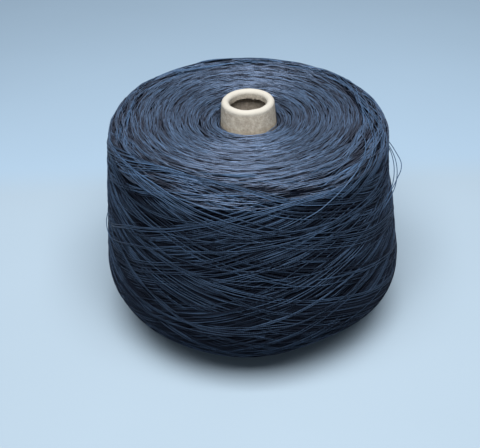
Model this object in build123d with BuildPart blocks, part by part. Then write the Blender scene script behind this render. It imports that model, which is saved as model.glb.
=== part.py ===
from build123d import *
from math import cos, pi, radians, sin, tan
import os

# A cross-wound cone of thread: three nested plies of paperboard rolled into a tapered
# tube, whose nose is turned in on itself, one wound body of thread, and the slack strands
# that stand off it. Z = 0 is the plane that the cone's base stands on, and +Z is the axis.

# ---------- driving dimensions (mm, degrees) ----------

CONE_HEIGHT = 170.0
HALF_ANGLE = 4.333           # 4 degrees 20 minutes
NOSE_RADIUS = 18.25          # outside of the rolled nose
PLY_THICKNESS = 0.8
PLY_NAMES = ("cone_inner_ply", "cone_core_ply", "cone_outer_ply")
CREASE_RADIUS = 0.3          # inside of the nose's fold
LIP_DEPTH = 3.4              # turned-in lip, below the centre of the fold

THREAD_DIAMETER = 0.6
WOUND_FROM = 8.5             # height where the winding leaves the cone at its base
WOUND_TO = 153.0             # and at its nose
TOP_CORNER = (95.0, 159.5)   # radius and height of the top shoulder, before rounding
BASE_CORNER = (112.0, 19.5)  # radius and height of the lower shoulder, before rounding
TOP_SHOULDER_RADIUS = 11.0
BASE_SHOULDER_RADIUS = 33.0
TOP_CROWN = 1.5              # how far the top face bows above a straight line
RUN_SHARE = 0.45             # how much of the shorter run each bend of a strand takes up

# Slack strands: azimuth in degrees from +X towards +Y, radius and height.
# Each one leaves the winding at its first point and goes back into it at its last.
RIGHT_INNER_LOOP = [
    (13, 98.0, 128), (5, 100.4, 125), (-3, 102.1, 121),
    (-11, 102.5, 117), (-19, 101.7, 113), (-27, 100.0, 109),
]
RIGHT_MIDDLE_LOOP = [
    (12, 97.5, 130), (4, 101.2, 125), (-4, 104.0, 121),
    (-12, 104.7, 116), (-20, 103.2, 111), (-28, 100.2, 107),
]
RIGHT_OUTER_LOOP = [
    (8, 97.4, 131), (3, 101.0, 128.5), (-2, 104.0, 125.5), (-6, 107.0, 123),
    (-9.5, 106.8, 120), (-13, 104.4, 117.5), (-18, 102.8, 115), (-24, 99.6, 112),
]
LEFT_LOOP = [(207, 104.0, 78), (200, 106.2, 81), (193, 107.5, 84), (186, 106.0, 87), (179, 102.4, 90)]
SHOULDER_STRAND = [
    (-26, 83.5, 158.4), (-32, 88.4, 160.7), (-38, 92.7, 158.6),
    (-44, 95.7, 155.4), (-50, 97.4, 151.4), (-55.5, 98.1, 146.8),
    (-61, 98.6, 142.2), (-66.5, 99.1, 137.8), (-72, 97.6, 133.8),
]
STRANDS = {
    "right_inner_loop": RIGHT_INNER_LOOP,
    "right_middle_loop": RIGHT_MIDDLE_LOOP,
    "right_outer_loop": RIGHT_OUTER_LOOP,
    "left_loop": LEFT_LOOP,
    "shoulder_strand": SHOULDER_STRAND,
}

# ---------- derived dimensions ----------

TAPER = tan(radians(HALF_ANGLE))
WALL_OFFSET = CREASE_RADIUS + len(PLY_NAMES) * PLY_THICKNESS  # fold centre to outer face
FOLD_RADIUS = NOSE_RADIUS - WALL_OFFSET                       # fold centre to the axis
FOLD_HEIGHT = CONE_HEIGHT - WALL_OFFSET
LIP_END = FOLD_HEIGHT - LIP_DEPTH


def wall_radius(offset, height):
    """Radius of the tapered wall's face that lies at this offset from the fold centre."""
    return FOLD_RADIUS + offset / cos(radians(HALF_ANGLE)) + (FOLD_HEIGHT - height) * TAPER


def fold_point(offset, angle):
    """Radius and height of a point on the nose's fold, at an angle above the horizontal."""
    turn = radians(angle)
    return (FOLD_RADIUS + offset * cos(turn), FOLD_HEIGHT + offset * sin(turn))


def cylindrical(azimuth, radius, height):
    """A point given by azimuth, radius and height, as X, Y and Z."""
    turn = radians(azimuth)
    return Vector(radius * cos(turn), radius * sin(turn), height)


def save(piece, name):
    """Label the finished piece and write its STEP file."""
    piece.part.label = name
    export_step(piece.part, f"parts/{name}.step")


# ---------- paper cone ----------

def cone_ply(inside, outside):
    """One ply: up the tapered wall, over the rolled nose and down the turned-in lip.

    inside and outside are its faces' offsets from the fold centre.
    """
    with BuildPart() as ply:
        with BuildSketch(Plane.XZ):
            with BuildLine():
                outer_fold = ThreePointArc(
                    fold_point(outside, HALF_ANGLE),
                    fold_point(outside, 90),
                    fold_point(outside, 180),
                )
                inner_fold = ThreePointArc(
                    fold_point(inside, HALF_ANGLE),
                    fold_point(inside, 90),
                    fold_point(inside, 180),
                )
                Polyline(
                    outer_fold @ 0,
                    (wall_radius(outside, 0), 0),
                    (wall_radius(inside, 0), 0),
                    inner_fold @ 0,
                )
                Polyline(
                    outer_fold @ 1,
                    (FOLD_RADIUS - outside, LIP_END),
                    (FOLD_RADIUS - inside, LIP_END),
                    inner_fold @ 1,
                )
            make_face()
        revolve(axis=Axis.Z)
    return ply


# ---------- wound thread ----------

def thread_package():
    """The wound body: a ring on the cone's wall with a dished top and rounded shoulders."""
    start = (wall_radius(WALL_OFFSET, WOUND_TO), WOUND_TO)
    finish = (wall_radius(WALL_OFFSET, WOUND_FROM), WOUND_FROM)
    crest = ((start[0] + TOP_CORNER[0]) / 2, (start[1] + TOP_CORNER[1]) / 2 + TOP_CROWN)
    with BuildPart() as package:
        with BuildSketch(Plane.XZ) as section:
            with BuildLine():
                ThreePointArc(start, crest, TOP_CORNER)
                Polyline(TOP_CORNER, BASE_CORNER, finish, start)
            make_face()
            fillet(section.vertices().sort_by(Axis.X)[-1], BASE_SHOULDER_RADIUS)
            fillet(section.vertices().sort_by(Axis.Y)[-1], TOP_SHOULDER_RADIUS)
        revolve(axis=Axis.Z)
    return package


def bend_radii(points):
    """The bend radius at each corner of a strand's route, from its shorter run and turn."""
    radii = []
    for before, corner, after in zip(points, points[1:], points[2:]):
        turn = radians((corner - before).get_angle(after - corner))
        shorter = min((corner - before).length, (after - corner).length)
        radii.append(RUN_SHARE * shorter / tan(turn / 2))
    return radii


def slack_strand(name, route):
    """A round strand swept along straight runs that are joined by tangent arcs."""
    points = [cylindrical(*place) for place in route]
    radii = bend_radii(points)
    print(name, "bend radii", [round(radius, 1) for radius in radii])
    with BuildPart() as strand:
        with BuildLine() as path:
            FilletPolyline(*points, radius=radii)
        with BuildSketch(Plane(origin=path.line @ 0, z_dir=path.line % 0)):
            Circle(THREAD_DIAMETER / 2)
        sweep()
    length = path.wire().length
    fullness = strand.part.volume / (pi * (THREAD_DIAMETER / 2) ** 2 * length)
    print(name, "length", round(length, 2), "volume over section times length", round(fullness, 5))
    return strand


# ---------- build and write every piece ----------

os.makedirs("parts", exist_ok=True)

for number, ply_name in enumerate(PLY_NAMES):
    ply_inside = CREASE_RADIUS + number * PLY_THICKNESS
    save(cone_ply(ply_inside, ply_inside + PLY_THICKNESS), ply_name)

save(thread_package(), "thread_package")

for strand_name, strand_route in STRANDS.items():
    save(slack_strand(strand_name, strand_route), strand_name)
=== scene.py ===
"""A package of sewing thread, cross-wound on a rolled paper cone.

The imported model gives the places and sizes. The winding is laid here strand by strand on a height
map of the package, so that each strand lies over those laid before it, and the paper cone is rolled
from its plies. Lengths inside the classes are in millimetres and become metres in the meshes.
"""
import logging
import math
from abc import ABC, abstractmethod
from dataclasses import dataclass, field
from enum import Enum
from typing import ClassVar

import bpy
import numpy as np
from mathutils import Matrix, Vector, noise

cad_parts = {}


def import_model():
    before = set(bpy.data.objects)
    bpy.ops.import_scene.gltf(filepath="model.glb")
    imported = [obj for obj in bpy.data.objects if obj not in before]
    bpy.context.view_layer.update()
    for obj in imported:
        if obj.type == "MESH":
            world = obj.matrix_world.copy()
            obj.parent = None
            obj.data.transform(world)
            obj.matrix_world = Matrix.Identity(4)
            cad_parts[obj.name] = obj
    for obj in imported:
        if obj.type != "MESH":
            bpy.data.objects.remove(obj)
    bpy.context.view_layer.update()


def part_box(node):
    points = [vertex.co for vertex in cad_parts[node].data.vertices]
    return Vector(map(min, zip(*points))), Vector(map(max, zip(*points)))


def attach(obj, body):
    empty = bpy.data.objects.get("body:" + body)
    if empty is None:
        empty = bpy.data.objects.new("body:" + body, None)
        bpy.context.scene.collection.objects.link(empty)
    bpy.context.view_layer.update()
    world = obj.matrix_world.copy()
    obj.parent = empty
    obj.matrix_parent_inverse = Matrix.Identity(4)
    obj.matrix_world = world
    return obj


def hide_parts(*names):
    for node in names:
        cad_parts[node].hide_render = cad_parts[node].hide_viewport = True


MM = 0.001
FULL_TURN = 2.0 * math.pi
FLANK_RADIUS = 103.0     # typical radius of the flank, which turns angles into lengths
TRAVERSE_RADIUS = 101.0  # mean radius over a whole traverse
TWIST_MAP = "thread_run"

log = logging.getLogger("thread_cone")


# --- small helpers ---------------------------------------------------------------------------------

def smooth_step(value: np.ndarray, low: float, high: float) -> np.ndarray:
    """Rises smoothly from 0 at low to 1 at high.

    Args:
        value: Numbers to grade.
        low: Where the rise starts.
        high: Where the rise ends.

    Returns:
        An array of numbers from 0 to 1.
    """
    share = np.clip((np.asarray(value, float) - low) / (high - low), 0.0, 1.0)
    return share * share * (3.0 - 2.0 * share)


def running_mean(values: np.ndarray, width: int) -> np.ndarray:
    """Averages each value with its neighbours, keeping the length.

    Args:
        values: A row of numbers.
        width: Number of neighbours in the window, in samples.

    Returns:
        The smoothed row.
    """
    half = max(1, width // 2)
    padded = np.pad(values, half, mode="edge")
    window = np.ones(2 * half + 1) / (2 * half + 1)
    return np.convolve(padded, window, mode="valid")


def running_top(values: np.ndarray, reach: int) -> np.ndarray:
    """Highest value within reach samples on either side.

    Args:
        values: A row of numbers.
        reach: How many samples to look at on each side.

    Returns:
        A row of the same length.
    """
    padded = np.pad(values, reach, mode="edge")
    views = [padded[i:i + len(values)] for i in range(2 * reach + 1)]
    return np.max(views, axis=0)


def unit_rows(rows: np.ndarray) -> np.ndarray:
    """Scales each row of a table of vectors to length one."""
    return rows / np.linalg.norm(rows, axis=1, keepdims=True)


def distance_along(line: np.ndarray) -> np.ndarray:
    """Distance from the start of a line to each of its points."""
    return np.concatenate([[0.0], np.cumsum(np.linalg.norm(np.diff(line, axis=0), axis=1))])


def mesh_piece(name: str, points: np.ndarray, quads: np.ndarray, tone: np.ndarray = None) -> bpy.types.Object:
    """Makes a smooth-shaded mesh object from quads.

    Args:
        name: Name of the piece.
        points: Corner points, in millimetres.
        quads: Four point numbers for each face, anticlockwise from outside.
        tone: Lighter or darker tone at each point, painted shade included, about -1 to 1, or None.

    Returns:
        The new object, linked to the scene.
    """
    mesh = bpy.data.meshes.new(name)
    mesh.vertices.add(len(points))
    mesh.vertices.foreach_set("co", (np.asarray(points) * MM).astype(np.float32).ravel())
    mesh.loops.add(quads.size)
    mesh.loops.foreach_set("vertex_index", quads.astype(np.int32).ravel())
    mesh.polygons.add(len(quads))
    mesh.polygons.foreach_set("loop_start", np.arange(0, quads.size, 4, dtype=np.int32))
    mesh.polygons.foreach_set("use_smooth", np.ones(len(quads), dtype=bool))
    if tone is not None:
        shade = mesh.attributes.new("tone", "FLOAT", "POINT")
        shade.data.foreach_set("value", tone.astype(np.float32))
    mesh.update(calc_edges=True)
    piece = bpy.data.objects.new(name, mesh)
    bpy.context.scene.collection.objects.link(piece)
    return piece


class NodeBench:
    """Lays nodes in one node tree and joins them up."""

    def __init__(self, tree: bpy.types.NodeTree) -> None:
        """Takes the tree to work in."""
        self.tree = tree

    def fill(self, node: bpy.types.Node, inputs: dict) -> None:
        """Sets a node's inputs, or joins them to sockets.

        Args:
            node: The node.
            inputs: Input name or number to a plain value or to an output socket.
        """
        for key, value in inputs.items():
            if isinstance(value, bpy.types.NodeSocket):
                self.tree.links.new(value, node.inputs[key])
            else:
                node.inputs[key].default_value = value

    def add(self, kind: str, inputs: dict = None, **settings: object) -> bpy.types.Node:
        """Adds a node, sets its properties and fills its inputs.

        Args:
            kind: Node type without its ShaderNode prefix.
            inputs: Input name or number to a plain value or to an output socket.
            **settings: Properties of the node.

        Returns:
            The new node.
        """
        node = self.tree.nodes.new("ShaderNode" + kind)
        for key, value in settings.items():
            setattr(node, key, value)
        self.fill(node, inputs or {})
        return node

    def mix(self, factor: object, first: object, second: object, blend: str = "MIX") -> bpy.types.NodeSocket:
        """Adds a colour mix.

        Args:
            factor: Share of the second colour, a number or a socket.
            first: First colour, RGBA or a socket.
            second: Second colour, RGBA or a socket.
            blend: Blend type.

        Returns:
            The mixed colour's socket.
        """
        sockets = {0: factor, 6: first, 7: second}
        return self.add("Mix", sockets, data_type="RGBA", blend_type=blend).outputs[2]

    def maths(self, operation: str, first: object, second: object = 0.0) -> bpy.types.NodeSocket:
        """Adds a maths node and returns its value socket."""
        return self.add("Math", {0: first, 1: second}, operation=operation).outputs[0]

    def graded(self, value: bpy.types.NodeSocket, span: tuple, result: tuple = (0.0, 1.0),
               curve: str = "LINEAR") -> bpy.types.NodeSocket:
        """Adds a clamped grade of a value.

        Args:
            value: Socket of the value.
            span: Value at the start of the grade and at its end.
            result: What those two become.
            curve: Interpolation between them.

        Returns:
            The graded value's socket.
        """
        ends = {"Value": value, "From Min": span[0], "From Max": span[1], "To Min": result[0],
                "To Max": result[1]}
        return self.add("MapRange", ends, interpolation_type=curve).outputs[0]

    def bump(self, height: bpy.types.NodeSocket, strength: float, distance: float) -> bpy.types.NodeSocket:
        """Adds a bump and returns its normal socket."""
        return self.add("Bump", {"Height": height, "Strength": strength, "Distance": distance}).outputs[0]

    def place(self) -> bpy.types.NodeSocket:
        """Adds the place on the object, in metres, and returns its socket."""
        return self.add("TexCoord").outputs["Object"]

    def effect(self, effect: "Effect", **values: float) -> bpy.types.NodeOutputs:
        """Adds a shared effect.

        Args:
            effect: The effect.
            **values: Its inputs.

        Returns:
            The effect's outputs, by name.
        """
        return self.add("Group", values, node_tree=effect.group()).outputs


def new_material(name: str) -> tuple:
    """Starts a material.

    Args:
        name: Name of the material.

    Returns:
        The material, the bench for its nodes and its shader node.
    """
    made = bpy.data.materials.new(name)
    made.use_nodes = True
    return made, NodeBench(made.node_tree), made.node_tree.nodes["Principled BSDF"]


# --- shared effects --------------------------------------------------------------------------------

class Effect(ABC):
    """A node group that materials share, built when it is first used."""

    name: str
    inputs: ClassVar[dict]
    outputs: ClassVar[tuple]

    def group(self) -> bpy.types.NodeTree:
        """Builds the group once and returns it.

        Returns:
            The node group.
        """
        known = bpy.data.node_groups.get(self.name)
        if known:
            return known
        group = bpy.data.node_groups.new(self.name, "ShaderNodeTree")
        for label, value in self.inputs.items():
            socket = group.interface.new_socket(label, in_out="INPUT", socket_type="NodeSocketFloat")
            socket.default_value = value
        for label in self.outputs:
            group.interface.new_socket(label, in_out="OUTPUT", socket_type="NodeSocketFloat")
        source = group.nodes.new("NodeGroupInput")
        sink = group.nodes.new("NodeGroupOutput")
        bench = NodeBench(group)
        bench.fill(sink, self.laid(bench, source.outputs))
        return group

    @abstractmethod
    def laid(self, bench: NodeBench, given: bpy.types.NodeOutputs) -> dict:
        """Lays the effect's nodes.

        Args:
            bench: Bench of the group's tree.
            given: Sockets of the group's inputs, by name.

        Returns:
            The name of each output and the socket that feeds it.
        """


@dataclass(frozen=True)
class MottleEffect(Effect):
    """Slow, cloudy drift of tone, used by thread, board and floor."""

    name: str = "cloudy_tone"
    inputs: ClassVar[dict] = {"Scale": 20.0, "Depth": 0.5}
    outputs: ClassVar[tuple] = ("Tone",)

    def laid(self, bench: NodeBench, given: bpy.types.NodeOutputs) -> dict:
        """Lays clouds about zero, as deep as is asked."""
        clouds = bench.add("TexNoise", {"Vector": bench.place(), "Scale": given["Scale"], "Detail": 3.0})
        centred = bench.maths("SUBTRACT", clouds.outputs["Fac"], 0.5)
        return {"Tone": bench.maths("MULTIPLY", centred, given["Depth"])}


@dataclass(frozen=True)
class FibreEffect(Effect):
    """Short matted fibres and flecks of pressed pulp."""

    name: str = "pulp_fibre"
    inputs: ClassVar[dict] = {"Stretch": 1.0, "Size": 900.0}
    outputs: ClassVar[tuple] = ("Fibre", "Height")

    def laid(self, bench: NodeBench, given: bpy.types.NodeOutputs) -> dict:
        """Lays coarse fibres and fine flecks, drawn out along the axis."""
        flat = bench.add("CombineXYZ", {0: 1.0, 1: 1.0, 2: given["Stretch"]}).outputs[0]
        drawn = bench.add("VectorMath", {0: bench.place(), 1: flat}, operation="MULTIPLY").outputs[0]
        coarse = bench.add("TexNoise", {"Vector": drawn, "Scale": given["Size"], "Detail": 4.0,
                                        "Roughness": 0.65, "Distortion": 0.6})
        finer = bench.maths("MULTIPLY", given["Size"], 2.7)
        fine = bench.add("TexNoise", {"Vector": drawn, "Scale": finer, "Detail": 2.0, "Distortion": 1.2})
        both = bench.maths("ADD", coarse.outputs["Fac"], fine.outputs["Fac"])
        return {"Fibre": bench.maths("MULTIPLY", both, 0.5), "Height": both}


@dataclass(frozen=True)
class TwistEffect(Effect):
    """Plies twisted round each other, read from the distances that each tube keeps in its map."""

    name: str = "ply_twist"
    inputs: ClassVar[dict] = {"Pitch": 2.6, "Plies": 2.0}
    outputs: ClassVar[tuple] = ("Height",)

    def laid(self, bench: NodeBench, given: bpy.types.NodeOutputs) -> dict:
        """Lays a rounded ridge for each ply, from 0 in the grooves to 1 on the crests."""
        run = bench.add("SeparateXYZ", {0: bench.add("UVMap", uv_map=TWIST_MAP).outputs[0]}).outputs
        turns = bench.maths("ADD", bench.maths("DIVIDE", run[0], given["Pitch"]), run[1])
        phase = bench.maths("MULTIPLY", bench.maths("MULTIPLY", turns, given["Plies"]), math.pi)
        return {"Height": bench.maths("ABSOLUTE", bench.maths("SINE", phase))}


# --- finishes --------------------------------------------------------------------------------------

@dataclass(frozen=True)
class ThreadFinish:
    """Glossy dyed filament thread."""

    name: str
    deep: tuple = (0.0012, 0.0022, 0.006)
    light: tuple = (0.080, 0.144, 0.254)
    roughness: float = 0.25
    specular: float = 0.3
    specular_tint: tuple = (0.55, 0.72, 1.0)
    sheen: float = 0.07
    sheen_tint: tuple = (0.55, 0.62, 0.95)
    # How much darker the grooves between the plies are painted than the crests, as painted shade.
    ply_painted_shade: float = 1.1
    ply_mean: float = 0.64

    def material(self) -> bpy.types.Material:
        """Builds the material.

        Returns:
            The material.
        """
        made, bench, shader = new_material(self.name)
        # The tone attribute holds the strand's random tone with painted shade added: deep strands, the flank,
        # its foot and each thread's sides are darker.
        strand = bench.add("Attribute", attribute_name="tone").outputs["Fac"]
        drift = bench.effect(MottleEffect(), Scale=45.0, Depth=0.9)["Tone"]
        # Painted glints: fine lighter and darker flecks in the colour.
        painted_glints = bench.effect(MottleEffect(), Scale=950.0, Depth=1.2)["Tone"]
        twist = bench.effect(TwistEffect())["Height"]
        # Painted shade: the grooves between the plies are darker in the colour and the crests lighter; the
        # same twist also drives the bump.
        plies = bench.maths("MULTIPLY", bench.maths("SUBTRACT", twist, self.ply_mean), self.ply_painted_shade)
        surface = bench.maths("ADD", bench.maths("ADD", drift, painted_glints), plies)
        share = bench.graded(bench.maths("ADD", strand, surface), (-1.0, 1.0))
        filaments = bench.add("TexNoise", {"Vector": bench.place(), "Scale": 2400.0, "Detail": 1.0})
        relief = bench.maths("ADD", twist, bench.maths("MULTIPLY", filaments.outputs["Fac"], 0.5))
        bench.fill(shader, {
            "Base Color": bench.mix(share, (*self.deep, 1.0), (*self.light, 1.0)),
            "Roughness": bench.graded(share, (0.0, 0.45), (0.95, self.roughness)),
            "Normal": bench.bump(relief, 0.8, 0.00014),
            "Specular IOR Level": self.specular,
            "Specular Tint": (*self.specular_tint, 1.0),
            "Sheen Weight": self.sheen,
            "Sheen Roughness": 0.4,
            "Sheen Tint": (*self.sheen_tint, 1.0),
        })
        return made


@dataclass(frozen=True)
class BoardFinish:
    """Grey-cream pulp board of the rolled cone."""

    name: str
    pale: tuple
    dark: tuple
    stretch: float = 1.0
    fibre_size: float = 900.0
    bump: float = 0.5
    roughness: float = 0.8
    rim_colour: tuple = None
    foot_colour: tuple = None
    seam_at: float = None
    seam_colour: tuple = (0.45, 0.40, 0.36)

    def material(self, cone: "ConeShape") -> bpy.types.Material:
        """Builds the material.

        Args:
            cone: Shape of the cone, which says where rim and foot are.

        Returns:
            The material.
        """
        made, bench, shader = new_material(self.name)
        fibres = bench.effect(FibreEffect(), Stretch=self.stretch, Size=self.fibre_size)
        clouds = bench.effect(MottleEffect(), Scale=420.0, Depth=0.5)["Tone"]
        share = bench.graded(bench.maths("ADD", fibres["Fibre"], clouds), (0.3, 0.68))
        colour = bench.mix(share, (*self.dark, 1.0), (*self.pale, 1.0))
        place = bench.add("SeparateXYZ", {0: bench.place()}).outputs
        if self.foot_colour:
            foot = bench.graded(place[2], (cone.foot_height * MM, (cone.foot_height + 5.0) * MM), (0.55, 0.0))
            colour = bench.mix(foot, colour, (*self.foot_colour, 1.0), "MULTIPLY")
        if self.seam_at is not None:
            across = bench.maths("ABSOLUTE", bench.maths("SUBTRACT", place[0], self.seam_at * MM))
            smudge = bench.graded(across, (0.0, 0.0035), (0.5, 0.0))
            front = bench.maths("LESS_THAN", place[1], 0.0)
            stain = bench.maths("MULTIPLY", bench.maths("MULTIPLY", smudge, front), fibres["Fibre"])
            colour = bench.mix(stain, colour, (*self.seam_colour, 1.0), "MULTIPLY")
        if self.rim_colour:
            rim = bench.graded(place[2], ((cone.height - 4.2) * MM, (cone.height - 1.4) * MM))
            colour = bench.mix(rim, colour, (*self.rim_colour, 1.0))
        bench.fill(shader, {
            "Base Color": colour,
            "Normal": bench.bump(fibres["Height"], self.bump, 0.00025),
            "Roughness": self.roughness,
            "Specular IOR Level": 0.3,
        })
        return made


@dataclass(frozen=True)
class FloorFinish:
    """Matt pale blue studio floor, bluer towards the back, with painted shade that darkens it towards the
    camera.
    """

    name: str = "studio_floor"
    # front: painted shade, the floor's colour towards the camera.
    front: tuple = (0.285, 0.356, 0.418)
    near: tuple = (0.340, 0.424, 0.500)
    far: tuple = (0.330, 0.440, 0.550)

    def material(self) -> bpy.types.Material:
        """Builds the material.

        Returns:
            The material.
        """
        made, bench, shader = new_material(self.name)
        depth = bench.add("SeparateXYZ", {0: bench.place()}).outputs[1]
        # Painted shade: the floor darkens from near towards the camera.
        level = bench.mix(bench.graded(depth, (-0.3, 0.1)), (*self.front, 1.0), (*self.near, 1.0))
        colour = bench.mix(bench.graded(depth, (0.14, 0.20), curve="SMOOTHSTEP"), level, (*self.far, 1.0))
        clouds = bench.effect(MottleEffect(), Scale=3.0, Depth=0.12)["Tone"]
        shade = bench.maths("ADD", clouds, 1.0)
        toned = bench.add("VectorMath", {0: colour, "Scale": shade}, operation="SCALE").outputs[0]
        bench.fill(shader, {"Base Color": toned, "Roughness": 0.9, "Specular IOR Level": 0.1})
        return made


# --- wound package ---------------------------------------------------------------------------------

@dataclass
class Meridian:
    """Outline of the wound thread, from its inner edge at the base round to the nose.

    Distances along it start at the base and are in millimetres, as are radius and height.
    """

    base_start: tuple
    nose_end: tuple
    base_corner: tuple = (112.0, 19.5)
    top_corner: tuple = (95.0, 159.5)
    base_rounding: float = 33.0
    top_rounding: float = 11.0
    top_crown: float = 1.5
    step: float = 0.25
    along: np.ndarray = field(init=False)
    radius: np.ndarray = field(init=False)
    height: np.ndarray = field(init=False)
    out_radial: np.ndarray = field(init=False)
    out_upward: np.ndarray = field(init=False)
    length: float = field(init=False)
    flank_from: float = field(init=False)
    flank_to: float = field(init=False)
    face_from: float = field(init=False)

    def __post_init__(self) -> None:
        """Joins the straight stretches and rounded corners, evenly spaced."""
        lower = self.rounded(self.base_start, self.base_corner, self.top_corner, self.base_rounding)
        upper = self.rounded(self.base_corner, self.top_corner, self.nose_end, self.top_rounding)
        share = np.linspace(0.0, 1.0, 40)[1:, None]
        face = upper[-1] + (np.array(self.nose_end) - upper[-1]) * share
        face[:, 1] += (self.top_crown * 4.0 * share * (1.0 - share))[:, 0]
        line = np.vstack([[self.base_start], lower, upper, face])
        reach = distance_along(line)
        self.along = np.arange(0.0, reach[-1], self.step)
        self.radius = np.interp(self.along, reach, line[:, 0])
        self.height = np.interp(self.along, reach, line[:, 1])
        slope_radial = running_mean(np.gradient(self.radius), 16)
        slope_upward = running_mean(np.gradient(self.height), 16)
        size = np.hypot(slope_radial, slope_upward)
        self.out_radial = slope_upward / size
        self.out_upward = -slope_radial / size
        self.length = float(self.along[-1])
        self.flank_from = float(reach[len(lower)])
        self.flank_to = float(reach[1 + len(lower)])
        self.face_from = float(reach[len(lower) + len(upper)])

    @staticmethod
    def rounded(before: tuple, corner: tuple, after: tuple, rounding: float) -> np.ndarray:
        """Arc that rounds a corner of the outline.

        Args:
            before: Point before the corner.
            corner: The sharp corner.
            after: Point after the corner.
            rounding: Radius of the arc.

        Returns:
            Points along the arc.
        """
        tip = np.array(corner)
        inward, onward = ((np.array(side) - tip) / np.linalg.norm(np.array(side) - tip)
                          for side in (before, after))
        half = math.acos(float(inward @ onward)) / 2.0
        middle = (inward + onward) / np.linalg.norm(inward + onward)
        centre = tip + middle * rounding / math.sin(half)
        first, last = (math.atan2(*(tip + way * rounding / math.tan(half) - centre)[::-1])
                       for way in (inward, onward))
        sweep = (last - first + math.pi) % FULL_TURN - math.pi
        angles = first + sweep * np.linspace(0.0, 1.0, 24)
        return centre + rounding * np.column_stack([np.cos(angles), np.sin(angles)])

    def radius_at(self, along: np.ndarray) -> np.ndarray:
        """Radius at a distance along the outline."""
        return np.interp(along, self.along, self.radius)

    def along_at_height(self, height: np.ndarray) -> np.ndarray:
        """Distance along the flank at which a height is reached."""
        flank = (self.along >= self.flank_from - 20.0) & (self.along <= self.flank_to + 8.0)
        return np.interp(height, self.height[flank], self.along[flank])


@dataclass
class Press:
    """A place where the soft package is pushed out of round."""

    azimuth: float
    height: float
    spread_azimuth: float
    spread_height: float
    radial: float = 0.0
    upward: float = 0.0


@dataclass
class PackageForm:
    """How the wound package has settled: a lean, a tilted top and a few pressed places."""

    meridian: Meridian
    lean: float = -1.0
    lean_heights: tuple = (0.0, 160.0)
    tilt: float = 0.019
    tilt_heights: tuple = (90.0, 158.0)
    soft_radii: tuple = (22.0, 60.0)
    presses: tuple = (
        Press(0.0, 120.0, 16.0, 15.0, radial=-1.9),
        Press(180.0, 155.0, 18.0, 9.0, radial=-1.4),
        Press(-62.0, 12.0, 17.0, 28.0, radial=-1.5, upward=3.2),
        Press(-25.0, 30.0, 14.0, 20.0, radial=1.6),
    )

    def place(self, turn: np.ndarray, along: np.ndarray, lift: np.ndarray) -> np.ndarray:
        """Finds points of the package.

        Args:
            turn: Angle round the axis from +X, in radians.
            along: Distance along the outline.
            lift: Height above the outline's surface.

        Returns:
            Points in millimetres, one row each.
        """
        outline = self.meridian
        radius = outline.radius_at(along) + np.interp(along, outline.along, outline.out_radial) * lift
        height = np.interp(along, outline.along, outline.height)
        height = height + np.interp(along, outline.along, outline.out_upward) * lift
        body = smooth_step(radius, *self.soft_radii)
        push = np.zeros_like(radius)
        raised = np.zeros_like(radius)
        for press in self.presses:
            away = (np.degrees(turn) - press.azimuth + 180.0) % 360.0 - 180.0
            share = np.exp(-(away / press.spread_azimuth) ** 2
                           - ((height - press.height) / press.spread_height) ** 2)
            push += press.radial * share
            raised += press.upward * share
        radius = radius + push * body
        across = radius * np.cos(turn)
        top = smooth_step(height, *self.tilt_heights) * body
        lifted = height + raised * body - self.tilt * across * top
        shift = self.lean * smooth_step(height, *self.lean_heights) * body
        return np.column_stack([across + shift, radius * np.sin(turn), lifted])


@dataclass
class Strand:
    """A laid stretch of thread, as a row of places on the package."""

    turn: np.ndarray
    along: np.ndarray
    lift: np.ndarray
    tone: np.ndarray


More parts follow.
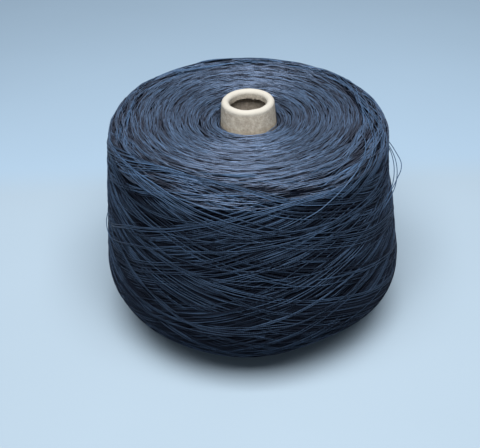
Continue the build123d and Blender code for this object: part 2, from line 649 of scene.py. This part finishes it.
@dataclass
class WindingBed:
    """Height map of the thread laid so far, on which each strand comes to rest."""

    meridian: Meridian
    thread: float = 0.6
    turn_cells: int = 1800
    along_step: float = 0.3
    bedding: float = 0.62
    bridge: float = 1.2
    stiffness: tuple = (5.0, 4.0)
    dive_length: float = 9.0
    rows: int = field(init=False)
    heights: np.ndarray = field(init=False)
    level: np.ndarray = field(init=False)

    def __post_init__(self) -> None:
        """Starts with a bare bed."""
        self.rows = int(self.meridian.length / self.along_step) + 3
        self.heights = np.zeros((self.turn_cells, self.rows))

    def cells(self, turn: np.ndarray, along: np.ndarray) -> tuple:
        """Grid cells under a path, as two arrays of whole numbers."""
        column = np.round(turn / FULL_TURN * self.turn_cells).astype(int) % self.turn_cells
        row = np.clip(np.round(along / self.along_step).astype(int), 1, self.rows - 2)
        return column, row

    def lowest_groove(self, turn: np.ndarray, along: np.ndarray, reach: float) -> float:
        """Finds how far to the side a strand slides into the lowest place nearby.

        Args:
            turn: Angles of the path.
            along: Distances of the path along the outline.
            reach: Farthest slide either way.

        Returns:
            The slide, in millimetres.
        """
        best, slide = None, 0.0
        for shift in np.arange(-reach, reach + 0.01, self.along_step):
            column, row = self.cells(turn[::4], along[::4] + shift)
            level = self.heights[column, row].mean() + 0.02 * abs(shift)
            if best is None or level < best:
                best, slide = level, float(shift)
        return slide

    def lay(self, turn: np.ndarray, along: np.ndarray, spacing: float, ends_down: float) -> np.ndarray:
        """Lays a strand over what lies there and raises the map under it.

        Args:
            turn: Angles of the path, in radians.
            along: Distances of the path along the outline.
            spacing: Distance between the path's samples.
            ends_down: How deep the two ends dive.

        Returns:
            Height of the strand's centre above the bare bed, sample by sample.
        """
        column, row = self.cells(turn, along)
        under = np.max([self.heights[column, row + side] for side in (-1, 0, 1)], axis=0)
        rest = running_top(under, max(1, round(self.bridge / spacing)))
        for span in self.stiffness:
            rest = running_mean(rest, round(span / spacing))
        reach = np.minimum(np.arange(len(turn)), np.arange(len(turn))[::-1]) * spacing
        rest = rest - ends_down * (1.0 - smooth_step(reach, 0.0, self.dive_length))
        for side, share in ((0, 1.0), (-1, 0.5), (1, 0.5)):
            np.maximum.at(self.heights, (column, row + side), rest + share * self.bedding * self.thread)
        return rest + 0.5 * self.thread

    def even_out(self, turn_window: int = 21, along_window: int = 23) -> None:
        """Works out the general level of the laid thread, place by place.

        Args:
            turn_window: Width of the averaging round the axis, in cells.
            along_window: Width of the averaging along the outline, in cells.
        """
        level = self.heights
        for _ in range(2):
            wrapped = np.concatenate([level[-turn_window:], level, level[:turn_window]])
            sums = np.cumsum(wrapped, axis=0)
            spread = (sums[turn_window:] - sums[:-turn_window]) / turn_window
            start = turn_window - turn_window // 2 - 1
            level = spread[start:start + self.turn_cells]
            padded = np.pad(level, ((0, 0), (along_window // 2 + 1, along_window // 2)), mode="edge")
            sums = np.cumsum(padded, axis=1)
            level = (sums[:, along_window:] - sums[:, :-along_window]) / along_window
        self.level = level

    def level_at(self, turn: np.ndarray, along: np.ndarray) -> np.ndarray:
        """General level of the laid thread under a path."""
        column, row = self.cells(turn, along)
        return self.level[column, row]


class Zone(Enum):
    """Parts of the package that are wound as separate pieces."""

    FLANK = "flank"
    TOP = "top"
    BASE = "base"


@dataclass
class Ribbon:
    """What the traverses of one ribbon share, and how many of them are left to lay."""

    left: int
    turn: float
    helix: float
    pitch: float
    top: float
    base: float
    wave: float


@dataclass
class ThreadPackage:
    """Cross-wound thread: a dark heart and the strands that lie on it.

    The strand's tone carries a darkening for all strands and painted shade: darker where a strand lies
    deep, on the flank, at its foot and on the sides of each thread. Proud is how far a strand can stand out
    before it is pressed down.
    """

    form: PackageForm
    finish: ThreadFinish
    top_finish: ThreadFinish
    heart_painted_shade_finish: ThreadFinish
    thread: float = 0.56
    seed: int = 7
    sample: float = 0.45
    proud: float = 0.45
    heart_depth: float = 1.3
    # top_shade darkens every strand alike; the next three are painted shade on the flank, at its foot and on
    # each thread's sides.
    top_shade: float = 0.32
    flank_painted_shade: float = 0.80
    foot_painted_shade: float = 0.45
    side_painted_shade: float = 0.6
    helix: float = 18.0
    lattice_strands: int = 640
    wandering_strands: int = 28
    top_arcs: int = 5600
    base_arcs: int = 900
    sides: int = 4
    bed: WindingBed = field(init=False)
    strands: dict = field(default_factory=lambda: {zone: [] for zone in Zone})

    # Ribbons that stand out on the front, as (azimuth in degrees, height) from left to right.
    ribbons: tuple = (
        (3, ((-165.0, 89.0), (-143.0, 110.0), (-126.0, 121.0), (-109.0, 133.0), (-90.5, 143.0),
             (-72.0, 148.5), (-52.0, 148.0))),
        (2, ((-166.0, 77.0), (-143.0, 97.5), (-123.0, 108.5), (-109.0, 113.5), (-94.0, 117.0),
             (-80.0, 120.5), (-67.0, 123.5), (-42.0, 121.0))),
        (3, ((-140.0, 108.0), (-121.0, 99.0), (-113.0, 96.5), (-103.0, 98.5), (-91.0, 105.5),
             (-73.0, 113.5), (-56.0, 117.5), (-27.0, 106.0))),
        (1, ((-155.0, 45.0), (-133.0, 62.0), (-113.0, 72.0), (-102.0, 77.0), (-93.0, 83.0),
             (-84.0, 90.0), (-73.0, 101.0), (-53.0, 115.0))),
        (3, ((-156.0, 89.5), (-143.0, 80.0), (-131.0, 70.0), (-121.0, 61.0), (-108.0, 54.5),
             (-91.5, 54.0), (-77.5, 57.0), (-64.0, 61.5), (-50.0, 68.5), (-38.0, 77.0))),
        (2, ((-119.0, 99.0), (-107.5, 91.5), (-96.5, 81.5), (-88.0, 72.5), (-77.5, 66.5),
             (-67.0, 62.0), (-55.5, 66.5), (-29.5, 72.5))),
        (1, ((-94.5, 102.5), (-84.0, 95.0), (-73.5, 87.5), (-61.5, 82.0), (-50.0, 78.0), (-32.5, 74.0))),
    )

    def build(self) -> list:
        """Winds the package and makes its pieces.

        Returns:
            The pieces, as Blender objects.
        """
        rng = np.random.default_rng(self.seed)
        self.bed = WindingBed(self.form.meridian, self.thread)
        self.wind(rng)
        glossy = self.finish.material()
        pieces = [self.heart()]
        pieces += self.zone_pieces(Zone.FLANK, 6, 5.0, glossy)
        pieces += self.zone_pieces(Zone.TOP, 2, 3.0, self.top_finish.material())
        pieces += self.zone_pieces(Zone.BASE, 1, 4.0, glossy)
        return pieces

    def wind(self, rng: np.random.Generator) -> None:
        """Lays every strand in its order.

        Args:
            rng: Source of the chances, seeded.
        """
        outline = self.form.meridian
        shares = {Zone.FLANK: self.lattice_strands, Zone.TOP: self.top_arcs, Zone.BASE: self.base_arcs}
        kinds = [zone for zone, count in shares.items() for _ in range(count)]
        ribbon = None
        for number in rng.permutation(len(kinds)):
            if kinds[number] is Zone.FLANK:
                ribbon = ribbon if ribbon and ribbon.left > 0 else self.new_ribbon(rng)
                self.lay_traverse(rng, ribbon)
            elif kinds[number] is Zone.TOP:
                self.lay_arc(rng, Zone.TOP, outline.flank_to - 3.0, outline.length - 0.5)
            else:
                self.lay_arc(rng, Zone.BASE, 1.0, outline.flank_from * 0.72)
        for _ in range(self.wandering_strands):
            self.lay_wanderer(rng)
        for count, stops in self.ribbons:
            self.lay_ribbon(rng, count, stops)
        self.bed.even_out()

    def put(self, zone: Zone, turn: np.ndarray, along: np.ndarray, tone: float, dive: float) -> None:
        """Lays one path on the bed and keeps it as a strand."""
        lift = self.bed.lay(turn, along, self.sample, dive)
        self.strands[zone].append(Strand(turn, along, lift, np.full(len(turn), tone)))

    def new_ribbon(self, rng: np.random.Generator) -> Ribbon:
        """Draws what the traverses of the next ribbon share."""
        outline = self.form.meridian
        return Ribbon(
            left=int(rng.choice([1, 2, 5, 9, 14], p=[0.2, 0.15, 0.25, 0.25, 0.15])),
            turn=rng.uniform(0.0, FULL_TURN),
            helix=rng.normal(self.helix, 1.8),
            pitch=rng.uniform(0.92, 1.3) * rng.choice([-1.0, 1.0]),
            top=rng.uniform(outline.flank_to - 4.0, outline.face_from + 7.0),
            base=rng.uniform(outline.flank_from * 0.42, outline.flank_from * 0.8),
            wave=rng.uniform(0.0, FULL_TURN),
        )

    def lay_traverse(self, rng: np.random.Generator, ribbon: Ribbon) -> None:
        """Lays a strand from the base up to its turn at the top and down again.

        Args:
            rng: Source of the chances.
            ribbon: The ribbon that the strand belongs to.
        """
        slope = math.radians(ribbon.helix)
        ribbon.left -= 1
        ribbon.turn += ribbon.pitch / math.sin(slope) / FLANK_RADIUS
        top = ribbon.top + rng.normal(0.0, 0.5)
        base = ribbon.base + rng.normal(0.0, 0.5)
        half_turn = (top - base) / math.tan(slope) / TRAVERSE_RADIUS
        length = 2.0 * half_turn * TRAVERSE_RADIUS / math.cos(slope)
        share = np.linspace(-1.0, 1.0, int(length / self.sample))
        turn = ribbon.turn + half_turn * share
        along = base + (top - base) * self.rounded_ramp(1.0 - np.abs(share), 0.07)
        along = along + 0.9 * np.sin(3.0 * turn + ribbon.wave) + 0.4 * np.sin(11.0 * turn)
        self.put(Zone.FLANK, turn, along, rng.uniform(-0.6, 0.8), 1.5)

    @staticmethod
    def rounded_ramp(share: np.ndarray, rounding: float) -> np.ndarray:
        """Ramp from 0 to 1 with a soft start and end, as at a traverse's turns."""
        start = share ** 2 / (2.0 * rounding)
        end = 1.0 - rounding - (1.0 - share) ** 2 / (2.0 * rounding)
        ramp = np.where(share > 1.0 - rounding, end, share - rounding / 2.0)
        return np.where(share < rounding, start, ramp) / (1.0 - rounding)

    def lay_arc(self, rng: np.random.Generator, zone: Zone, low: float, high: float) -> None:
        """Lays the short arc of a turn that shows on an end face.

        Args:
            rng: Source of the chances.
            zone: The face.
            low: Nearest distance along the outline.
            high: Farthest distance along the outline.
        """
        outline = self.form.meridian
        inner, outer = sorted(outline.radius_at(np.array([low, high])))
        while True:
            along_start = rng.uniform(low, high)
            radius = float(outline.radius_at(along_start))
            if rng.uniform(inner * 0.6, outer) < radius:
                break
        length = rng.uniform(11.0, 46.0)
        reach = np.linspace(0.0, length, int(length / self.sample))
        turn = rng.uniform(0.0, FULL_TURN) + reach / radius
        lean = rng.normal(0.0, 0.055)
        wave = rng.uniform(0.0, FULL_TURN)
        along = along_start + lean * (reach - length / 2.0) + 0.4 * np.sin(reach / 9.0 + wave)
        along = np.clip(along + self.bed.lowest_groove(turn, along, 0.6), low, high)
        self.put(zone, turn, along, rng.uniform(-0.9, 0.9), 1.6)
        self.strands[zone][-1].lift += 0.3 * np.sin(reach / 3.2 + rng.uniform(0.0, FULL_TURN))

    def lay_wanderer(self, rng: np.random.Generator) -> None:
        """Lays a small ribbon that runs nearly level round the flank."""
        outline = self.form.meridian
        span = rng.uniform(1.6, 4.0)
        slope = math.tan(math.radians(rng.uniform(2.0, 11.0))) * rng.choice([-1.0, 1.0])
        sag = rng.uniform(-9.0, 9.0)
        middle = rng.uniform(outline.flank_from - 12.0, outline.flank_to - 6.0)
        start = rng.uniform(0.0, FULL_TURN)
        share = np.linspace(-0.5, 0.5, int(span * FLANK_RADIUS / self.sample))
        turn = start + span * share
        along = middle + slope * FLANK_RADIUS * span * share + sag * np.cos(FULL_TURN * share)
        along = np.clip(along, outline.flank_from * 0.5, outline.flank_to + 9.0)
        along = running_mean(along, round(24.0 / self.sample))
        gap = rng.uniform(0.8, 1.6)
        for member in range(int(rng.integers(1, 3))):
            drift = 0.5 * np.sin(5.0 * turn + rng.uniform(0.0, FULL_TURN))
            self.put(Zone.FLANK, turn, along + member * gap + drift, rng.uniform(-0.4, 0.7), 2.2)

    def lay_ribbon(self, rng: np.random.Generator, count: int, stops: tuple) -> None:
        """Lays one of the ribbons that stand out on the front.

        Args:
            rng: Source of the chances.
            count: Number of strands side by side.
            stops: Places that the ribbon passes.
        """
        outline = self.form.meridian
        azimuths = np.radians([stop[0] for stop in stops])
        places = outline.along_at_height(np.array([stop[1] for stop in stops]))
        samples = int((azimuths[-1] - azimuths[0]) * FLANK_RADIUS / self.sample)
        turn = np.linspace(azimuths[0], azimuths[-1], samples)
        along = np.interp(turn, azimuths, places)
        for _ in range(2):
            along = running_mean(along, round(14.0 / self.sample))
        for member in range(count):
            drift = 0.55 * np.sin(rng.uniform(3.0, 7.0) * turn + rng.uniform(0.0, FULL_TURN))
            offset = (member - (count - 1) / 2.0) * rng.uniform(0.7, 1.15)
            self.put(Zone.FLANK, turn, along + offset + drift, rng.uniform(0.1, 0.8), 2.2)

    def zone_pieces(self, zone: Zone, parts: int, segment: float, material: bpy.types.Material) -> list:
        """Makes the meshes of a zone's strands.

        Args:
            zone: Which strands.
            parts: Number of pieces to share them among.
            segment: Length of a tube's segments.
            material: Finish of the thread.

        Returns:
            The pieces.
        """
        stride = max(1, round(segment / self.sample))
        shown = []
        for strand in self.strands[zone]:
            pick = np.unique(np.append(np.arange(0, len(strand.turn), stride), len(strand.turn) - 1))
            lift = strand.lift[pick] - self.bed.level_at(strand.turn[pick], strand.along[pick])
            lift = np.where(lift > self.proud, self.proud + 0.35 * (lift - self.proud), lift)
            seen = running_top((lift > -self.heart_depth - 0.3).astype(float), 1) > 0.5
            edges = np.flatnonzero(np.diff(np.concatenate([[0], seen.astype(int), [0]])))
            for first, last in zip(edges[::2], edges[1::2]):
                if last - first >= 3:
                    part = pick[first:last]
                    tone = strand.tone[part] + self.placed_painted_shade(strand.along[part], lift[first:last])
                    shown.append(Strand(strand.turn[part], strand.along[part], lift[first:last], tone))
        pieces = []
        for part in range(parts):
            name = f"{zone.value}_winding" if parts == 1 else f"{zone.value}_winding_{part + 1}"
            pieces.append(self.tubes(name, shown[part::parts], material))
        return pieces

    def placed_painted_shade(self, along: np.ndarray, lift: np.ndarray) -> np.ndarray:
        """Painted shade of a strand by where it lies, added to its tone.

        Args:
            along: Distance along the outline, which tells face, flank and foot apart.
            lift: Height above the winding's general level: what lies deep is painted darker, as painted
                shade.

        Returns:
            The painted shade, sample by sample.
        """
        foot, shoulder = self.form.meridian.flank_from - 20.0, self.form.meridian.flank_to
        # Painted shade: strands that lie deep are darker, the flank is darker than the face and darker still
        # towards its foot; top_shade darkens every strand alike.
        flank = self.flank_painted_shade * (1.0 - smooth_step(along, shoulder - 16.0, shoulder + 3.0))
        lowest = self.foot_painted_shade * (1.0 - smooth_step(along, foot, foot + 90.0))
        return 1.8 * smooth_step(lift, -0.85, 0.25) - 1.25 - self.top_shade - flank - lowest

    def rings(self, strand: Strand, angles: np.ndarray) -> tuple:
        """Places the rings of points round a strand.

        Args:
            strand: The strand.
            angles: Angles round the strand, from its outermost side.

        Returns:
            The strand's own line and the points of its rings, ring after ring.
        """
        line = self.form.place(strand.turn, strand.along, strand.lift)
        outward = unit_rows(self.form.place(strand.turn, strand.along, strand.lift + 0.2) - line)
        sideways = unit_rows(np.cross(unit_rows(np.gradient(line, axis=0)), outward))
        ring = (np.cos(angles)[None, :, None] * outward[:, None, :]
                + np.sin(angles)[None, :, None] * sideways[:, None, :])
        return line, (line[:, None, :] + ring * (0.5 * self.thread)).reshape(-1, 3)

    def thread_run(self, line: np.ndarray, side: np.ndarray) -> np.ndarray:
        """Distances that a tube's map keeps: millimetres along it and share of the way round.

        Args:
            line: The strand's own line.
            side: Numbers of the tube's sides.

        Returns:
            One row for each corner of each face.
        """
        run = distance_along(line)
        before = np.repeat(run[:-1, None], self.sides, axis=1)
        after = np.repeat(run[1:, None], self.sides, axis=1)
        low = np.tile(side / self.sides, (len(line) - 1, 1))
        high = low + 1.0 / self.sides
        pairs = ((before, low), (before, high), (after, high), (after, low))
        return np.stack([np.stack(pair, -1) for pair in pairs], -2).reshape(-1, 2)

    def tubes(self, name: str, strands: list, material: bpy.types.Material) -> bpy.types.Object:
        """Makes one mesh of many thread tubes with closed ends.

        Args:
            name: Name of the piece.
            strands: The strands, with their lifts above the outline.
            material: Finish of the thread.

        Returns:
            The piece.
        """
        points, quads, tones, twists = [], [], [], []
        offset = 0
        side = np.arange(self.sides)
        angles = FULL_TURN * side / self.sides
        # Painted shade: each thread's sides and underside are darker than its crown.
        thread_side_shade = self.side_painted_shade * (1.0 - np.cos(angles))
        for strand in strands:
            line, rings = self.rings(strand, angles)
            points.append(rings)
            count = len(line)
            start = (np.arange(count - 1) * self.sides)[:, None] + offset
            first, second = start + side, start + (side + 1) % self.sides
            around = [first, second, second + self.sides, first + self.sides]
            quads.append(np.stack(around, -1).reshape(-1, 4))
            twists.append(self.thread_run(line, side))
            end = offset + (count - 1) * self.sides
            for corner in range(1, self.sides - 1, 2):
                quads.append(np.array([[end, end + corner, end + corner + 1, end + corner + 2]]))
                quads.append(np.array([[offset + corner + 2, offset + corner + 1, offset + corner, offset]]))
                twists.append(np.zeros((8, 2)))
            tones.append((strand.tone[:, None] - thread_side_shade).ravel())
            offset += count * self.sides
        piece = mesh_piece(name, np.concatenate(points), np.concatenate(quads), np.concatenate(tones))
        lengths = piece.data.uv_layers.new(name=TWIST_MAP)
        lengths.data.foreach_set("uv", np.concatenate(twists).astype(np.float32).ravel())
        piece.data.materials.append(material)
        log.info("%s: %d strands, %d faces", name, len(strands), len(piece.data.polygons))
        return piece

    def heart(self) -> bpy.types.Object:
        """Makes the closed body under the strands that show, painted near-black as the shade of the deeper
        thread.

        Returns:
            The piece.
        """
        outline = self.form.meridian
        columns = 300
        picked = np.arange(0.0, outline.length, 1.6)
        turn = np.linspace(0.0, FULL_TURN, columns, endpoint=False)
        turns, alongs = (grid.ravel() for grid in np.meshgrid(turn, picked, indexing="ij"))
        points = self.form.place(turns, alongs, np.full(turns.size, -self.heart_depth))
        piece = mesh_piece("winding_heart", points, ring_quads(columns, len(picked)))
        piece.data.materials.append(self.heart_painted_shade_finish.material())
        return piece


def ring_quads(columns: int, rows: int) -> np.ndarray:
    """Faces of a closed ring whose section is a closed loop.

    Args:
        columns: Number of sections round the ring.
        rows: Number of points in each section.

    Returns:
        Four point numbers for each face.
    """
    column = np.arange(columns)[:, None]
    row = np.arange(rows)[None, :]
    here = column * rows + row
    up = column * rows + (row + 1) % rows
    beside = (column + 1) % columns * rows + row
    both = (column + 1) % columns * rows + (row + 1) % rows
    return np.stack([here, beside, both, up], -1).reshape(-1, 4)


# --- loose strands ---------------------------------------------------------------------------------

@dataclass
class LooseStrand:
    """A slack loop of the thread that stands off the package."""

    node: str
    length: float
    route: tuple
    diameter: float = 0.0006

    def build(self, material: bpy.types.Material) -> bpy.types.Object:
        """Args:
            material: Finish of the thread.

        Returns:
            The piece.
        """
        stops = [(radius * math.cos(math.radians(azimuth)), radius * math.sin(math.radians(azimuth)), height)
                 for azimuth, radius, height in self.route]
        curve = bpy.data.curves.new(self.node + "_thread", "CURVE")
        curve.dimensions = "3D"
        curve.bevel_depth = self.diameter / 2.0
        curve.bevel_resolution = 2
        curve.use_fill_caps = True
        curve.resolution_u = 10
        spline = curve.splines.new("NURBS")
        spline.points.add(len(stops) - 1)
        for point, stop in zip(spline.points, stops):
            point.co = (*stop, 1.0)
        spline.order_u = 3
        spline.use_endpoint_u = True
        piece = bpy.data.objects.new(self.node + "_thread", curve)
        bpy.context.scene.collection.objects.link(piece)
        curve.materials.append(material)
        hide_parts(self.node)
        return piece


def loose_strands() -> list:
    """The slack loops, with their routes as azimuth in degrees, radius and height in metres.

    Returns:
        The strands.
    """
    return [
        LooseStrand("right_inner_loop", 0.0733, (
            (13, 0.0980, 0.128), (5, 0.1004, 0.125), (-3, 0.1021, 0.121), (-11, 0.1025, 0.117),
            (-19, 0.1017, 0.113), (-27, 0.1000, 0.109))),
        LooseStrand("right_middle_loop", 0.0759, (
            (12, 0.0975, 0.130), (4, 0.1012, 0.125), (-4, 0.1040, 0.121), (-12, 0.1047, 0.116),
            (-20, 0.1032, 0.111), (-28, 0.1002, 0.107))),
        LooseStrand("right_outer_loop", 0.0632, (
            (8, 0.0974, 0.131), (3, 0.1010, 0.1285), (-2, 0.1040, 0.1255), (-6, 0.1070, 0.123),
            (-9.5, 0.1068, 0.120), (-13, 0.1044, 0.1175), (-18, 0.1028, 0.115), (-24, 0.0996, 0.112))),
        LooseStrand("left_loop", 0.0536, (
            (207, 0.1040, 0.078), (200, 0.1062, 0.081), (193, 0.1075, 0.084), (186, 0.1060, 0.087),
            (179, 0.1024, 0.090))),
        LooseStrand("shoulder_strand", 0.0844, (
            (-26, 0.0835, 0.1584), (-32, 0.0884, 0.1607), (-38, 0.0927, 0.1586), (-44, 0.0957, 0.1554),
            (-50, 0.0974, 0.1514), (-55.5, 0.0981, 0.1468), (-61, 0.0986, 0.1422),
            (-66.5, 0.0991, 0.1378), (-72, 0.0976, 0.1338))),
    ]


# --- paper cone ------------------------------------------------------------------------------------

@dataclass
class ConeShape:
    """Rolled paper cone with its nose folded inwards into a lip."""

    height: float
    foot_height: float
    half_angle: float = 4.333
    fold_radius: float = 15.55
    fold_height: float = 167.3
    lip_end: float = 163.9
    seam_azimuth: float = -93.0

    def section(self, offset: float) -> np.ndarray:
        """Line of one face of the board, from the base over the fold to the end of the lip.

        Args:
            offset: Distance from the fold's centre to that face.

        Returns:
            Rows of radius and height.
        """
        slope = math.radians(self.half_angle)
        hidden = np.linspace(9.5, 150.0, 24)
        heights = np.concatenate([np.linspace(0.0, 9.0, 12), hidden, np.linspace(150.8, 167.0, 34)])
        radii = self.fold_radius + offset / math.cos(slope) + (self.fold_height - heights) * math.tan(slope)
        wall = np.column_stack([radii, heights])
        angles = np.linspace(slope, math.pi, 22)
        fold = np.column_stack([self.fold_radius + offset * np.cos(angles),
                                self.fold_height + offset * np.sin(angles)])
        drop = np.linspace(self.fold_height, self.lip_end, 18)[1:]
        lip = np.column_stack([np.full(len(drop), self.fold_radius - offset), drop])
        return np.vstack([wall, fold, lip])


@dataclass
class Ply:
    """One layer of the rolled board."""

    name: str
    node: str
    inside: float
    outside: float
    finish: BoardFinish
    slot: str
    columns: int = 300
    ragged: float = 0.9
    roughness: float = 0.05
    seam: float = 0.0

    def build(self, cone: ConeShape) -> bpy.types.Object:
        """Makes the ply as one closed mesh.

        Args:
            cone: Shape of the whole cone.

        Returns:
            The piece.
        """
        outer = cone.section(self.outside)
        inner = cone.section(self.inside)[::-1]
        loop = np.vstack([outer, inner])
        turn = np.linspace(0.0, FULL_TURN, self.columns, endpoint=False)
        points = np.concatenate([self.worked(loop, angle, cone) for angle in turn])
        piece = mesh_piece(self.name, points, ring_quads(self.columns, len(loop)))
        piece.data.materials.append(self.finish.material(cone))
        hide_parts(self.node)
        return piece

    def worked(self, loop: np.ndarray, angle: float, cone: ConeShape) -> np.ndarray:
        """Bends one section to what hand-rolled pulp board does.

        Args:
            loop: Radius and height of the section's points.
            angle: Where the section stands round the axis, in radians.
            cone: Shape of the whole cone.

        Returns:
            Points in millimetres.
        """
        radius, height = loop[:, 0].copy(), loop[:, 1].copy()
        lip = (radius < cone.fold_radius) & (height < cone.fold_height)
        round_place = Vector((math.cos(angle), math.sin(angle), 0.0))
        nick = noise.noise(round_place * 31.0 + Vector((4.0, 0.0, 0.0)))
        tooth = noise.noise(round_place * 9.0) + 0.8 * nick
        depth = np.clip((cone.fold_height - height) / (cone.fold_height - cone.lip_end), 0.0, 1.0)
        height[lip] -= self.ragged * tooth * depth[lip] ** 3
        pleat = noise.noise(round_place * 17.0 + Vector((0.0, 0.0, 9.0)))
        radius[lip] += 0.12 * pleat * depth[lip]
        nose = smooth_step(height, 150.0, 168.0)
        radius += nose * 0.16 * noise.noise(round_place * 1.7)
        height += nose * 0.2 * noise.noise(round_place * 2.3 + Vector((0.0, 7.0, 0.0)))
        if self.seam:
            behind = (math.degrees(angle) - cone.seam_azimuth) % 360.0
            wall = radius > cone.fold_radius
            radius[wall] += self.seam * max(0.0, 1.0 - behind / 40.0) * (1.0 - nose[wall] * 0.5)
        across, back = math.cos(angle), math.sin(angle)
        rough = [noise.noise(Vector((r * across, r * back, h)) * 0.9)
                 + 0.6 * noise.noise(Vector((r * across, r * back, h)) * 2.1) for r, h in zip(radius, height)]
        out = np.where(np.arange(len(loop)) < len(loop) // 2, 1.0, -1.0)
        radius += self.roughness * np.array(rough) * out
        return np.column_stack([radius * across, radius * back, np.maximum(height, 0.0)])


@dataclass
class PaperCone:
    """The rolled cone: facing, core and lining."""

    shape: ConeShape

    def build(self) -> list:
        """Makes the three plies.

        Returns:
            The pieces.
        """
        facing = BoardFinish("board_facing", (0.53, 0.48, 0.40), (0.22, 0.19, 0.15), stretch=1.8,
                             rim_colour=(0.43, 0.405, 0.355), foot_colour=(0.80, 0.70, 0.56), seam_at=-1.0)
        core = BoardFinish("board_core", (0.42, 0.38, 0.32), (0.20, 0.175, 0.145), bump=0.7)
        lining = BoardFinish("board_lining", (0.46, 0.40, 0.33), (0.24, 0.205, 0.165), stretch=0.14,
                             fibre_size=1100.0, bump=0.6)
        plies = [
            Ply("cone_facing", "cone_outer_ply", 1.9, 2.7, facing, "facing", seam=0.22),
            Ply("cone_core", "cone_core_ply", 1.1, 1.9, core, "board", columns=200, ragged=1.3),
            Ply("cone_lining", "cone_inner_ply", 0.3, 1.1, lining, "board", columns=240, ragged=1.5),
        ]
        return [ply.build(self.shape) for ply in plies]


# --- studio ----------------------------------------------------------------------------------------

@dataclass
class Camera:
    """Camera that looks down on the front of the package."""

    target_height: float = 0.080
    distance: float = 0.62694
    elevation: float = 35.06
    roll: float = 1.76
    focal_length: float = 63.2
    aim_left: float = 0.00833
    aim_down: float = 0.01216

    def build(self) -> bpy.types.Object:
        """Makes the camera and gives it to the scene.

        Returns:
            The camera.
        """
        slope, lean = math.radians(self.elevation), math.radians(self.roll)
        target = Vector((0.0, 0.0, self.target_height))
        place = target + self.distance * Vector((0.0, -math.cos(slope), math.sin(slope)))
        right = Vector((1.0, 0.0, 0.0))
        up = Vector((0.0, math.sin(slope), math.cos(slope)))
        level_right = right * math.cos(lean) - up * math.sin(lean)
        level_up = up * math.cos(lean) + right * math.sin(lean)
        aim = target - level_right * self.aim_left - level_up * self.aim_down
        back = (place - aim).normalized()
        side = (level_right - back * level_right.dot(back)).normalized()
        rise = back.cross(side)
        camera = bpy.data.objects.new("camera", bpy.data.cameras.new("camera"))
        bpy.context.scene.collection.objects.link(camera)
        camera.data.lens = self.focal_length
        camera.data.sensor_width = 36.0
        camera.data.clip_start = 0.01
        camera.data.clip_end = 20.0
        turned = Matrix((side, rise, back)).transposed().to_4x4()
        camera.matrix_world = Matrix.Translation(place) @ turned
        bpy.context.scene.camera = camera
        return camera


@dataclass
class Softbox:
    """A rectangular soft light that points at the package."""

    name: str
    place: tuple
    size: tuple
    power: float
    colour: tuple = (1.0, 1.0, 1.0)

    def build(self) -> bpy.types.Object:
        """Makes the light.

        Returns:
            The light.
        """
        lamp = bpy.data.lights.new(self.name, "AREA")
        lamp.shape = "RECTANGLE"
        lamp.size, lamp.size_y = self.size
        lamp.energy = self.power
        lamp.color = self.colour
        light = bpy.data.objects.new(self.name, lamp)
        light.location = self.place
        light.visible_camera = False
        towards = Vector((0.0, 0.0, 0.1)) - Vector(self.place)
        light.rotation_euler = towards.to_track_quat("-Z", "Y").to_euler()
        bpy.context.scene.collection.objects.link(light)
        return light


@dataclass
class Studio:
    """Floor, soft lights and surrounding light."""

    floor_half: float = 4.0
    sky: tuple = (0.40, 0.48, 0.56)
    sky_strength: float = 0.42

    def build(self) -> None:
        """Makes the floor, the lights and the world."""
        corner = self.floor_half / MM
        points = np.array([[-corner, -corner, 0.0], [corner, -corner, 0.0], [corner, corner, 0.0],
                           [-corner, corner, 0.0]])
        floor = mesh_piece("floor", points, np.array([[0, 1, 2, 3]]))
        floor.data.materials.append(FloorFinish().material())
        world = bpy.data.worlds.new("surroundings")
        world.use_nodes = True
        sky = world.node_tree.nodes["Background"]
        sky.inputs["Color"].default_value = (*self.sky, 1.0)
        sky.inputs["Strength"].default_value = self.sky_strength
        bpy.context.scene.world = world
        Softbox("overhead_light", (0.0, -0.42, 1.2), (1.0, 0.75), 30.5).build()
        Softbox("front_fill", (-0.3, -1.3, 0.7), (1.2, 1.0), 0.6).build()
        bpy.context.scene.view_settings.view_transform = "Standard"
        bpy.context.scene.view_settings.look = "None"


def main() -> None:
    """Builds the cone, the winding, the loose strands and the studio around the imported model."""
    logging.basicConfig(level=logging.INFO, format="%(name)s: %(message)s")
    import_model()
    Camera().build()

    thread_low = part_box("thread_package")[0]
    ply_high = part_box("cone_outer_ply")[1]
    cone = ConeShape(height=ply_high.z / MM, foot_height=153.0)
    board_at_base = cone.section(2.7)
    base_height = thread_low.z / MM
    base_radius = float(np.interp(base_height, board_at_base[:40, 1], board_at_base[:40, 0]))
    nose_radius = float(np.interp(cone.foot_height, board_at_base[30:70, 1], board_at_base[30:70, 0]))

    finish = ThreadFinish("dyed_thread")
    top_finish = ThreadFinish("dyed_thread_top", light=(0.083, 0.132, 0.218), specular=1.0,
                              specular_tint=(0.66, 0.75, 1.0))
    # Near-black painted shade for the deeper layers of thread under the strands.
    heart_painted_shade_finish = ThreadFinish("thread_depths_painted_shade", deep=(0.001, 0.0015, 0.003), light=(0.003, 0.004, 0.008),
                                roughness=0.9, specular=0.05, sheen=0.0, ply_painted_shade=0.0)
    outline = Meridian((base_radius + 0.2, base_height), (nose_radius + 0.2, cone.foot_height))
    package = ThreadPackage(PackageForm(outline), finish, top_finish, heart_painted_shade_finish)
    pieces = package.build()
    for piece in pieces:
        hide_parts("thread_package")
    loose_finish = ThreadFinish("loose_thread", ply_painted_shade=0.0).material()
    for strand in loose_strands():
        loose = strand.build(loose_finish)
        pieces.append(loose)
    pieces += PaperCone(cone).build()
    for piece in pieces:
        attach(piece, "root")
        log.info("made %s", piece.name)
    Studio().build()


if __name__ == "__main__":
    main()
